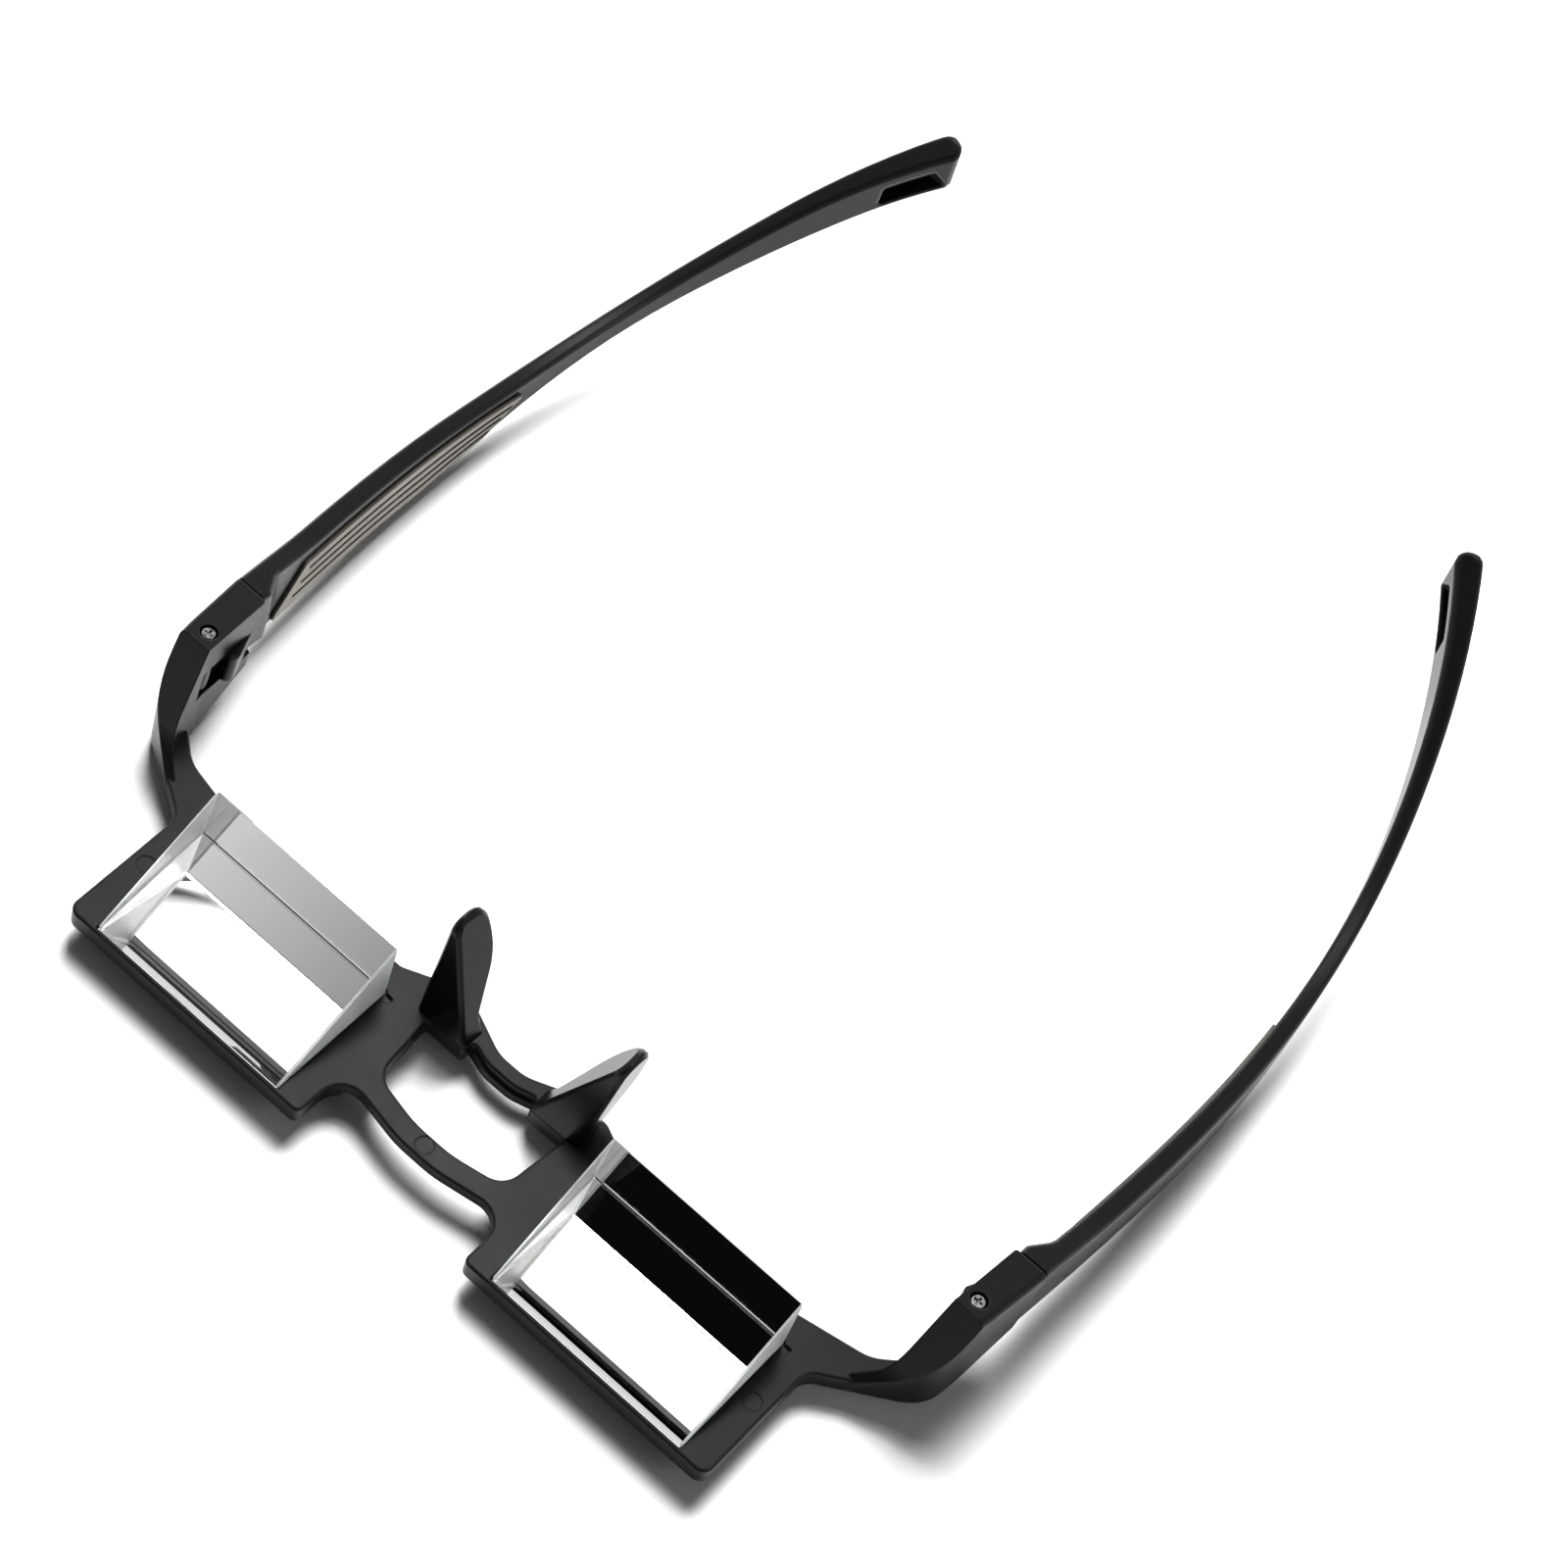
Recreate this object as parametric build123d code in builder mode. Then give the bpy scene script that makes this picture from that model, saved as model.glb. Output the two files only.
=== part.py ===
from build123d import *
import os
from math import cos, radians, sin, tan

os.makedirs("parts", exist_ok=True)

# Prism bed glasses, in millimetres, lying upside down on a table as they are
# laid down when not worn: X runs across the face, Y runs back along the
# temples and Z points up. The origin is on the table below the middle of the
# whole part. The sizes named with y are measured back from the hinge screws.
middle_y = 52.74

# Deck: the thin plate that carries everything
deck_tilt = 2.4
deck_front_y = -39.24
deck_front_z = 4.75
deck_thickness = 3.3
rim_bevel = 0.3
cut_overrun = 6.0

# Rims around the prisms, measured in the deck from its front edge line
rim_inner_x = 15.9
rim_outer_x = 61.5
rim_front = -0.85
rim_rear = 27.6
rim_inner_corner_radius = 1.2
rim_outer_corner_radius = 1.9

# Front bridge bar
bar_front_middle = 6.55
bar_front_side = 8.9
bar_flat_half_width = 3.5
bar_bow_radius = 20.0
bar_shoulder_radius = 4.0
window_front_middle = 10.3
window_front_side = 12.1
window_front_x = 12.1
window_front_radius = 3.8
bar_end_x = 14.6
bar_relief = 1.2

# Rear of the bridge: the feet of the nose pads and the bar between them
foot_inner_x = 6.3
foot_outer_x = 13.3
foot_front = 23.95
foot_corner_radius = 0.7
arch_front_middle = 24.9
arch_front_side = 26.1
arch_rear_middle = 27.45
arch_bow_radius = 14.0
arch_half_width = 2.5
foot_rear = 30.4
foot_rear_inner_x = 9.2
foot_rear_outer_x = 16.0
foot_rear_radius = 2.5
rim_rear_inner_x = 22.0
arch_step_width = 0.5
arch_step_height = 1.7

# Arms that carry the hinge blocks
arm_start = 21.6
arm_start_radius = 3.5
arm_elbow_x = 76.3
arm_elbow = 31.2
arm_elbow_radius = 7.0
arm_end = 33.4
arm_outer_end = 35.6
arm_rear_start_x = 54.5
arm_rear_bend_x = 66.6
arm_rear_bend = 30.1
arm_rear_bend_radius = 7.0
arm_rear_end_x = 70.4

# Hinge block, measured from the screw in the plane of the block's top
hinge_x = 74.0
hinge_z = 20.9
hinge_slope = 9.5
block_front = -2.5
block_rear = 11.0
block_height = 14.6
block_outer_x = 77.4
block_outer = 38.2
block_outer_rear_x = 79.3
block_inner_rear_x = 73.2
block_inner_front_x = 71.6
block_inner_front = 36.5
block_inner_radius = 8.0
block_toe_x = 70.2
block_toe = 29.0
block_toe_radius = 5.0
block_tail_x = 66.0
block_tail = 25.9
block_tail_width = 1.6
block_outer_radius = 2.5
block_end = 56.0
block_joint_round = 0.5
block_top_round = 1.1

# Ramp from the arm up to the top of the hinge block, in world Y and Z
ramp_bend_y = -10.6
ramp_bend_z = 6.6
ramp_bend_radius = 8.0
ramp_foot_y = -14.5
ramp_foot_z = 3.0
block_sole_y = -4.5
block_sole_z = 0.05
block_sole_radius = 10.0
block_heel_z = 0.9

# Hinge slot, tongue and screw
slot_top = 6.0
slot_height = 6.0
slot_front = 2.2
slot_wall_x = 76.25
slot_reach = 8.0
barrel_radius = 2.0
tongue_gap = 0.2
joint_gap = 0.3
tongue_outer_width = 1.9
cheek_reach = 4.0
cheek_start = 3.5
cheek_radius = 1.2
cheek_end = 16.0
tongue_root = 3.0
screw_shank_radius = 0.7
screw_running_clearance = 0.05
screw_thread_clearance = 0.02
screw_head_radius = 1.25
screw_head_height = 0.95
screw_head_sink = 0.25
screw_head_bevel = 0.25
counterbore_radius = 1.45
screw_tip_depth = 13.6
recess_length = 1.5
recess_width = 0.4
recess_depth = 0.45

# Prisms: long leg in the deck, short leg upright at the rear
prism_inner_x = 20.63
prism_outer_x = 56.25
prism_long_leg = 22.93
prism_short_leg = 12.64
prism_nose_flat = 0.2
prism_seat_depth = 0.6
prism_seat_gap = 0.15
prism_glue_film = 0.05
prism_bevel = 0.35
notch_length = 1.6
notch_width = 1.3
notch_setback = 0.9

# Round marks of the mould's ejector pins in the deck
mark_radius = 1.45
mark_depth = 0.12
mark_rim_x = 58.9
mark_rim = 12.6
mark_bar = 8.6

# Nose pads, in world Y and Z seen from the side and X and Z from the front
pad_foot_rear = 28.4
pad_head_front_y = -9.9
pad_head_front_z = 22.0
pad_head_rear_y = -3.8
pad_head_rear_z = 21.4
pad_back_y = -4.1
pad_back_z = 14.2
pad_heel_y = -10.7
pad_heel_z = 6.4
pad_head_front_radius = 2.6
pad_head_rear_radius = 3.0
pad_back_radius = 11.0
pad_heel_radius = 2.5
pad_inner_foot_x = 6.4
pad_outer_foot_x = 15.7
pad_inner_head_x = 15.6
pad_outer_head_x = 16.7
pad_edge_bevel = 0.5
peg_radius = 1.0
peg_length = 1.8
peg_gap = 0.05
peg_x = 11.0
peg_spread = 4.0

# Temples: plan line of the middle of the thickness
temple_widest_x = 78.75
temple_widest_y = 65.0
temple_root_x = 75.75
temple_neck_x = 77.85
temple_neck_y = 25.0
temple_rear_radius = 131.5
temple_end_y = 144.4
temple_front_half = 1.65
temple_waist_half = 1.3
temple_end_crown = 0.9
temple_tip_half = 2.1
temple_bevel = 0.55
shoulder_x = 73.3
shoulder_front_y = 8.0
shoulder_rear_y = 12.9
shoulder_radius = 1.5
shoulder_end_x = 76.3
shoulder_end_y = 17.9
shoulder_end_radius = 3.0
shoulder_height = 9.0

# Temples: outline seen from the side, in world Y and Z
temple_top_front_y = 25.0
temple_top_front_z = 15.25
temple_top_front_radius = 40.0
temple_top_low_y = 95.5
temple_top_low_z = 6.5
temple_top_low_radius = 97.0
tip_top_y = 146.0
tip_top_z = 35.6
tip_bottom_y = 149.6
tip_bottom_z = 29.6
tip_radius = 2.3
temple_sole_y = 56.4
temple_sole_z = -0.72
temple_sole_radius = 60.0
temple_rise_y = 118.9
temple_rise_z = 11.78
temple_rise_radius = 90.0

# Inlay on the inner face of each temple
inlay_depth = 1.1
inlay_proud = 0.5
inlay_gap = 0.1
inlay_bed_gap = 0.05
inlay_top_start_y = 23.5
inlay_top_start_z = 12.6
inlay_top_end_y = 75.5
inlay_top_end_z = 7.4
inlay_bottom_end_y = 66.0
inlay_bottom_end_z = 2.4
inlay_bottom_y = 52.0
inlay_bottom_z = 1.2
inlay_bottom_start_y = 15.6
inlay_bottom_start_z = 4.6
inlay_corner_radius = 0.6
groove_width = 0.55
groove_depth = 0.6
groove_shares = (0.25, 0.5, 0.75)
groove_start_share = 0.1
groove_end_share = 0.06

# Cord pocket in the inner face near each temple tip
pocket_front = 14.3
pocket_front_slant = 2.5
pocket_rear = 7.2
pocket_top = 1.4
pocket_bottom = 2.4
pocket_depth = 2.2
pocket_radius = 0.6

# Planes the parts are drawn on
deck = Plane(
    origin=(0, deck_front_y - middle_y, deck_front_z),
    x_dir=(1, 0, 0),
    z_dir=(0, sin(radians(deck_tilt)), cos(radians(deck_tilt))),
)
table = Plane(origin=(0, -middle_y, 0), x_dir=(1, 0, 0), z_dir=(0, 0, 1))
side = Plane(origin=(0, -middle_y, 0), x_dir=(0, 1, 0), z_dir=(1, 0, 0))
face = Plane(origin=(0, -middle_y, 0), x_dir=(1, 0, 0), z_dir=(0, -1, 0))
tall = hinge_z + tip_top_z
counterbore_depth = screw_head_sink + screw_head_height


def rounded_outline(corners):
    """Draw a closed outline from corners given as (across, along, radius)."""
    points = [Vector(across, along) for across, along, radius in corners]
    arcs = []
    for index, corner in enumerate(points):
        radius = corners[index][2]
        back = (points[index - 1] - corner).normalized()
        ahead = (points[(index + 1) % len(points)] - corner).normalized()
        half_angle = radians(back.get_angle(ahead)) / 2
        reach = radius / tan(half_angle)
        bulge = radius / sin(half_angle) - radius
        middle = corner + (back + ahead).normalized() * bulge
        arcs.append((corner + back * reach, middle, corner + ahead * reach, radius))
    for index, (start, middle, end, radius) in enumerate(arcs):
        Line(arcs[index - 1][2], start)
        if radius > 0:
            ThreePointArc(start, middle, end)


def hinge_side_point(along, down):
    """World Y and Z of a point given in the plane of the hinge block's top."""
    slope = radians(hinge_slope)
    return (
        along * cos(slope) - down * sin(slope),
        hinge_z - along * sin(slope) - down * cos(slope),
    )


def hinge_plane(way):
    """Plane of the block's top on the right (way 1) or the left (way -1)."""
    return Plane(
        origin=(way * hinge_x, -middle_y, hinge_z),
        x_dir=(1, 0, 0),
        z_dir=(0, sin(radians(hinge_slope)), cos(radians(hinge_slope))),
    )


def deck_side_point(along, up):
    """World Y and Z of a point given along the deck and above it."""
    tilt = radians(deck_tilt)
    return (
        deck_front_y + along * cos(tilt) + up * sin(tilt),
        deck_front_z - along * sin(tilt) + up * cos(tilt),
    )


def peg_places(way):
    """Points on the deck of the two pegs under a nose pad."""
    middle = (foot_front + pad_foot_rear) / 2
    return (
        (way * (peg_x - peg_spread / 2), middle),
        (way * (peg_x + peg_spread / 2), middle),
    )


def temple_rear_point(y, offset):
    """Plan point of the temple's rear curve at depth y, moved outward by an offset."""
    rise = (y - temple_widest_y) / temple_rear_radius
    run = (1 - rise * rise) ** 0.5
    return (
        temple_widest_x - temple_rear_radius + (temple_rear_radius + offset) * run,
        temple_widest_y + (temple_rear_radius + offset) * rise,
    )


def temple_edge(front_offset, waist_offset, tip_offset):
    """Five points along one face of the temple, from the joint to the tip."""
    middle_offset = (front_offset + waist_offset) / 2
    return (
        (temple_root_x + front_offset, 0),
        (temple_neck_x + front_offset, temple_neck_y),
        temple_rear_point(temple_widest_y, middle_offset),
        temple_rear_point((temple_widest_y + temple_end_y) / 2, waist_offset),
        temple_rear_point(temple_end_y, tip_offset),
    )


def temple_band(inner, outer):
    """Draw the closed plan outline between two faces of the temple."""
    for edge in (inner, outer):
        Spline(*edge)
    Line(inner[0], outer[0])
    corner = Vector(*inner[-1])
    across = Vector(*outer[-1]) - corner
    back = Vector(-across.Y, across.X).normalized() * temple_end_crown
    ThreePointArc(corner, corner + across / 2 + back, corner + across)


def between(start, end, share):
    """Point at a share of the way from one side point to another."""
    return tuple(a + (b - a) * share for a, b in zip(start, end))


def inner_slab(depth, proud, outline, shrink=0):
    """Slab along the temple's inner face, cut to an outline seen from the side."""
    halves = (temple_front_half, temple_waist_half, temple_tip_half)
    with BuildPart() as slab:
        with BuildSketch(table):
            with BuildLine():
                temple_band(
                    temple_edge(*[-half - proud for half in halves]),
                    temple_edge(*[depth - half for half in halves]),
                )
            make_face()
        extrude(amount=tall)
        with BuildSketch(side):
            with BuildLine():
                rounded_outline(outline)
            make_face()
            if shrink:
                offset(amount=-shrink, kind=Kind.INTERSECTION)
        extrude(amount=tall + hinge_x, mode=Mode.INTERSECT)
    return slab.part


def tip_side_point(back, up):
    """Side point measured back from the temple's end and up from its middle."""
    end = between((tip_top_y, tip_top_z), (tip_bottom_y, tip_bottom_z), 1 / 2)
    run = Vector(tip_bottom_y - temple_rise_y, tip_bottom_z - temple_rise_z).normalized()
    return (
        end[0] - run.X * back - run.Y * up,
        end[1] - run.Y * back + run.X * up,
    )


# Front frame: right half of the deck outline, then the left half mirrored
bar_shoulder = (rim_inner_x, bar_front_side, bar_shoulder_radius)
outer_corners = [
    (bar_flat_half_width, bar_front_middle, bar_bow_radius),
    bar_shoulder,
    (rim_inner_x, rim_front, rim_inner_corner_radius),
    (rim_outer_x, rim_front, rim_outer_corner_radius),
    (rim_outer_x, arm_start, arm_start_radius),
    (arm_elbow_x, arm_elbow, arm_elbow_radius),
    (arm_elbow_x, arm_outer_end, 0),
    (arm_rear_end_x, arm_end, 0),
    (arm_rear_bend_x, arm_rear_bend, arm_rear_bend_radius),
    (arm_rear_start_x, rim_rear, arm_rear_bend_radius),
    (rim_rear_inner_x, rim_rear, foot_rear_radius),
    (foot_rear_outer_x, foot_rear, foot_rear_radius),
    (foot_rear_inner_x, foot_rear, foot_rear_radius),
    (arch_half_width, arch_rear_middle, arch_bow_radius / 2),
]
window_corners = [
    (bar_flat_half_width, window_front_middle, bar_bow_radius),
    (window_front_x, window_front_side, window_front_radius),
    (foot_outer_x, foot_front, foot_corner_radius),
    (foot_inner_x, foot_front, foot_corner_radius),
    (foot_inner_x, arch_front_side, foot_corner_radius),
    (arch_half_width, arch_front_middle, arch_bow_radius / 2),
]


def mirrored(corners):
    """Both halves of an outline whose right half is given front to rear."""
    left_half = [(-across, along, radius) for across, along, radius in corners]
    return corners + left_half[::-1]


block_front_point = hinge_side_point(block_front, 0)
block_top_point = hinge_side_point(block_rear, 0)
block_bottom_point = hinge_side_point(block_rear, block_height)

with BuildPart() as hinge_wall:
    with BuildSketch(deck) as wall_plan:
        with BuildLine():
            rounded_outline([
                (block_tail_x, block_tail - block_tail_width, 0),
                (arm_elbow_x, arm_elbow, arm_elbow_radius),
                (block_outer_x, block_outer, block_outer_radius),
                (block_outer_rear_x, block_end, 0),
                (block_inner_rear_x, block_end, 0),
                (block_inner_front_x, block_inner_front, block_inner_radius),
                (block_toe_x, block_toe, block_toe_radius),
                (block_tail_x, block_tail, 0),
            ])
        make_face()
    extrude(amount=tall, both=True)
    with BuildSketch(side) as wall_side:
        with BuildLine():
            rounded_outline([
                (*block_front_point, 0),
                (*block_top_point, 0),
                (*block_bottom_point, 0),
                (block_sole_y, block_sole_z, block_sole_radius),
                (ramp_foot_y, block_heel_z, 0),
                (ramp_foot_y, ramp_foot_z, 0),
                (ramp_bend_y, ramp_bend_z, ramp_bend_radius),
            ])
        make_face()
    extrude(amount=tall + hinge_x, mode=Mode.INTERSECT)
    top_face = hinge_wall.faces().sort_by(Axis.Z)[-1]
    fillet(top_face.edges().sort_by(Axis.X)[-1], radius=block_top_round)
    joint_face = hinge_wall.faces().sort_by(Axis.Y)[-1]
    fillet(joint_face.edges().sort_by(Axis.X)[0], radius=block_joint_round)

with BuildPart() as front_frame:
    # The deck with its arms
    with BuildSketch(deck) as deck_outline:
        with BuildLine():
            rounded_outline(mirrored(outer_corners))
        make_face()
        with BuildLine():
            rounded_outline(mirrored(window_corners))
        make_face(mode=Mode.SUBTRACT)
    extrude(amount=-deck_thickness)
    rim_edges = front_frame.faces().sort_by(Axis.Z)[-1].edges()
    chamfer(rim_edges, length=rim_bevel)
    # The bar is thinner than the rest of the deck
    with BuildSketch(deck.offset(-deck_thickness)) as bar_sole:
        Rectangle(2 * bar_end_x, window_front_side, align=(Align.CENTER, Align.MIN))
    extrude(amount=bar_relief, mode=Mode.SUBTRACT)
    # The hinge blocks
    add(hinge_wall.part)
    add(mirror(hinge_wall.part, about=Plane.YZ))
    # The step along the front of the rear bridge bar
    with BuildSketch(deck.offset(-deck_thickness)) as arch_step:
        with BuildLine():
            rounded_outline(mirrored([
                (arch_half_width, arch_front_middle - arch_step_width, arch_bow_radius / 2),
                (foot_inner_x, arch_front_side - arch_step_width, 0),
                (foot_inner_x, arch_front_side, 0),
                (arch_half_width, arch_front_middle + arch_step_width, arch_bow_radius / 2),
            ]))
        make_face()
    extrude(amount=arch_step_height)
    # Seats and moulding notches under the prisms
    for way in (1, -1):
        middle_x = way * (prism_inner_x + prism_outer_x) / 2
        prism_width = prism_outer_x - prism_inner_x
        with BuildSketch(deck) as prism_seat:
            with Locations((middle_x, prism_long_leg / 2)):
                Rectangle(
                    prism_width + 2 * prism_seat_gap,
                    prism_long_leg + 2 * prism_seat_gap,
                )
        extrude(amount=-prism_seat_depth, mode=Mode.SUBTRACT)
        with BuildSketch(deck) as seat_notches:
            with Locations(
                (way * prism_inner_x, prism_long_leg - notch_setback),
                (way * prism_outer_x, prism_long_leg - notch_setback),
            ):
                Rectangle(2 * notch_length, notch_width)
        extrude(amount=-prism_seat_depth, mode=Mode.SUBTRACT)
        # Holes for the pegs of the nose pad
        with BuildSketch(deck) as peg_holes:
            with Locations(*peg_places(way)):
                Circle(peg_radius + peg_gap)
        extrude(amount=-peg_length - peg_gap, mode=Mode.SUBTRACT)
        # Slot for the temple's tongue and holes for the hinge screw
        block_top = hinge_plane(way)
        with BuildSketch(block_top.offset(-slot_top)) as tongue_slot:
            with Locations((way * (slot_wall_x - hinge_x), -slot_front)):
                Rectangle(
                    slot_reach,
                    slot_front + block_rear + cut_overrun,
                    align=(Align.MAX if way > 0 else Align.MIN, Align.MIN),
                )
        extrude(amount=-slot_height, mode=Mode.SUBTRACT)
        with BuildSketch(block_top) as counterbore:
            Circle(counterbore_radius)
        extrude(amount=-counterbore_depth, mode=Mode.SUBTRACT)
        with BuildSketch(block_top.offset(-counterbore_depth)) as screw_hole:
            Circle(screw_shank_radius + screw_running_clearance)
        extrude(amount=counterbore_depth - slot_top - slot_height / 2, mode=Mode.SUBTRACT)
        with BuildSketch(block_top.offset(-slot_top)) as thread_hole:
            Circle(screw_shank_radius + screw_thread_clearance)
        extrude(amount=slot_top - screw_tip_depth - peg_gap, mode=Mode.SUBTRACT)
    # Marks left by the ejector pins
    with BuildSketch(deck) as ejector_marks:
        with Locations((mark_rim_x, mark_rim), (-mark_rim_x, mark_rim), (0, mark_bar)):
            Circle(mark_radius)
    extrude(amount=-mark_depth, mode=Mode.SUBTRACT)
front_frame.part.label = "front_frame"
export_step(front_frame.part, "parts/front_frame.step")

# Prisms: one moulded glass bar each side, every edge bevelled
with BuildPart() as prism_right:
    with BuildSketch(side.offset(prism_inner_x)) as prism_end:
        with BuildLine():
            Polyline(*[deck_side_point(along, up) for along, up in (
                (0, -prism_seat_depth + prism_glue_film),
                (0, prism_nose_flat),
                (prism_long_leg, prism_short_leg),
                (prism_long_leg, -prism_seat_depth + prism_glue_film),
            )], close=True)
        make_face()
    extrude(amount=prism_outer_x - prism_inner_x)
    chamfer(prism_right.edges(), length=prism_bevel)
prism_right.part.label = "prism_right"
export_step(prism_right.part, "parts/prism_right.step")

with BuildPart() as prism_left:
    add(mirror(prism_right.part, about=Plane.YZ))
prism_left.part.label = "prism_left"
export_step(prism_left.part, "parts/prism_left.step")

# Nose pads: wedge-shaped fins that lean back and splay with the nose
pad_base_front = deck_side_point(foot_front, 0)
pad_base_rear = deck_side_point(pad_foot_rear, 0)

with BuildPart() as nose_pad_right:
    with BuildSketch(side) as pad_side:
        with BuildLine():
            rounded_outline([
                (*pad_base_front, 0),
                (pad_head_front_y, pad_head_front_z, pad_head_front_radius),
                (pad_head_rear_y, pad_head_rear_z, pad_head_rear_radius),
                (pad_back_y, pad_back_z, pad_back_radius),
                (pad_heel_y, pad_heel_z, pad_heel_radius),
                (*pad_base_rear, 0),
            ])
        make_face()
    extrude(amount=prism_inner_x)
    with BuildSketch(face) as pad_front:
        with BuildLine():
            Polyline(
                (pad_inner_foot_x, pad_base_rear[1]),
                (pad_outer_foot_x, pad_base_rear[1]),
                (pad_outer_head_x, pad_head_front_z),
                (pad_inner_head_x, pad_head_front_z),
                close=True,
            )
        make_face()
    extrude(amount=-pad_base_front[0], mode=Mode.INTERSECT)
    base_edges = nose_pad_right.faces().sort_by(Axis.Z)[0].edges()
    chamfer(nose_pad_right.edges() - base_edges, length=pad_edge_bevel)
    with BuildSketch(deck) as pegs:
        with Locations(*peg_places(1)):
            Circle(peg_radius)
    extrude(amount=-peg_length)
nose_pad_right.part.label = "nose_pad_right"
export_step(nose_pad_right.part, "parts/nose_pad_right.step")

with BuildPart() as nose_pad_left:
    add(mirror(nose_pad_right.part, about=Plane.YZ), clean=False)
nose_pad_left.part.label = "nose_pad_left"
export_step(nose_pad_left.part, "parts/nose_pad_left.step")

hinge = hinge_plane(1)

# Hinge screws: pan head with a cross recess on a plain shank
with BuildPart() as hinge_screw_right:
    with BuildSketch(hinge.offset(-screw_head_sink)) as screw_head:
        Circle(screw_head_radius)
    extrude(amount=-screw_head_height)
    chamfer(hinge_screw_right.edges().sort_by(Axis.Z)[-1], length=screw_head_bevel)
    with BuildSketch(hinge.offset(-screw_head_sink)) as cross_recess:
        Rectangle(recess_length, recess_width)
        Rectangle(recess_width, recess_length)
    extrude(amount=-recess_depth, mode=Mode.SUBTRACT)
    with BuildSketch(hinge.offset(-screw_head_sink - screw_head_height)) as screw_shank:
        Circle(screw_shank_radius)
    extrude(amount=screw_head_sink + screw_head_height - screw_tip_depth)
hinge_screw_right.part.label = "hinge_screw_right"
export_step(hinge_screw_right.part, "parts/hinge_screw_right.step")

with BuildPart() as hinge_screw_left:
    add(mirror(hinge_screw_right.part, about=Plane.YZ))
hinge_screw_left.part.label = "hinge_screw_left"
export_step(hinge_screw_left.part, "parts/hinge_screw_left.step")

# Temples: the inlay's outline, its grooves and the cord pocket come first
inner_face = temple_edge(-temple_front_half, -temple_waist_half, -temple_tip_half)
outer_face = temple_edge(temple_front_half, temple_waist_half, temple_tip_half)
joint_top = hinge_side_point(block_rear + joint_gap, 0)
joint_bottom = hinge_side_point(block_rear + joint_gap, block_height)

inlay_top = ((inlay_top_start_y, inlay_top_start_z), (inlay_top_end_y, inlay_top_end_z))
inlay_bottom = (
    (inlay_bottom_start_y, inlay_bottom_start_z),
    (inlay_bottom_y, inlay_bottom_z),
    (inlay_bottom_end_y, inlay_bottom_end_z),
)
middle_share = (inlay_bottom_y - inlay_top_start_y) / (inlay_top_end_y - inlay_top_start_y)
inlay_outline = [
    (*inlay_top[0], inlay_corner_radius),
    (*inlay_top[1], inlay_corner_radius),
    (*inlay_bottom[2], inlay_corner_radius),
    (*inlay_bottom[1], temple_sole_radius / 2),
    (*inlay_bottom[0], inlay_corner_radius),
]
inlay_bed = inner_slab(inlay_depth, cut_overrun, inlay_outline)
inlay_body = inner_slab(inlay_depth - inlay_bed_gap, inlay_proud, inlay_outline, inlay_gap)
inlay_grooves = []
for share in groove_shares:
    start = between(inlay_bottom[0], inlay_top[0], share)
    middle = between(inlay_bottom[1], between(*inlay_top, middle_share), share)
    end = between(inlay_bottom[2], inlay_top[1], share)
    path = (
        between(start, middle, groove_start_share),
        middle,
        between(end, middle, groove_end_share),
    )
    upper = [(y, z + groove_width / 2, 0) for y, z in path]
    lower = [(y, z - groove_width / 2, 0) for y, z in path]
    inlay_grooves.append(
        inner_slab(groove_depth - inlay_proud, cut_overrun, upper + lower[::-1])
    )
cord_pocket = inner_slab(pocket_depth, cut_overrun, [
    (*tip_side_point(pocket_front, pocket_top), pocket_radius),
    (*tip_side_point(pocket_rear, pocket_top), pocket_radius),
    (*tip_side_point(pocket_rear, -pocket_bottom), pocket_radius),
    (*tip_side_point(pocket_front + pocket_front_slant, -pocket_bottom), pocket_radius),
])

with BuildPart() as shoulder:
    with BuildSketch(table) as shoulder_plan:
        with BuildLine():
            rounded_outline([
                (shoulder_x, shoulder_front_y, 0),
                (shoulder_x, shoulder_rear_y, shoulder_radius),
                (shoulder_end_x, shoulder_end_y, shoulder_end_radius),
                (temple_neck_x, temple_neck_y, 0),
                (shoulder_end_x, shoulder_front_y, 0),
            ])
        make_face()
    extrude(amount=tall)
    split(bisect_by=hinge.offset(-shoulder_height), keep=Keep.TOP)

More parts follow.
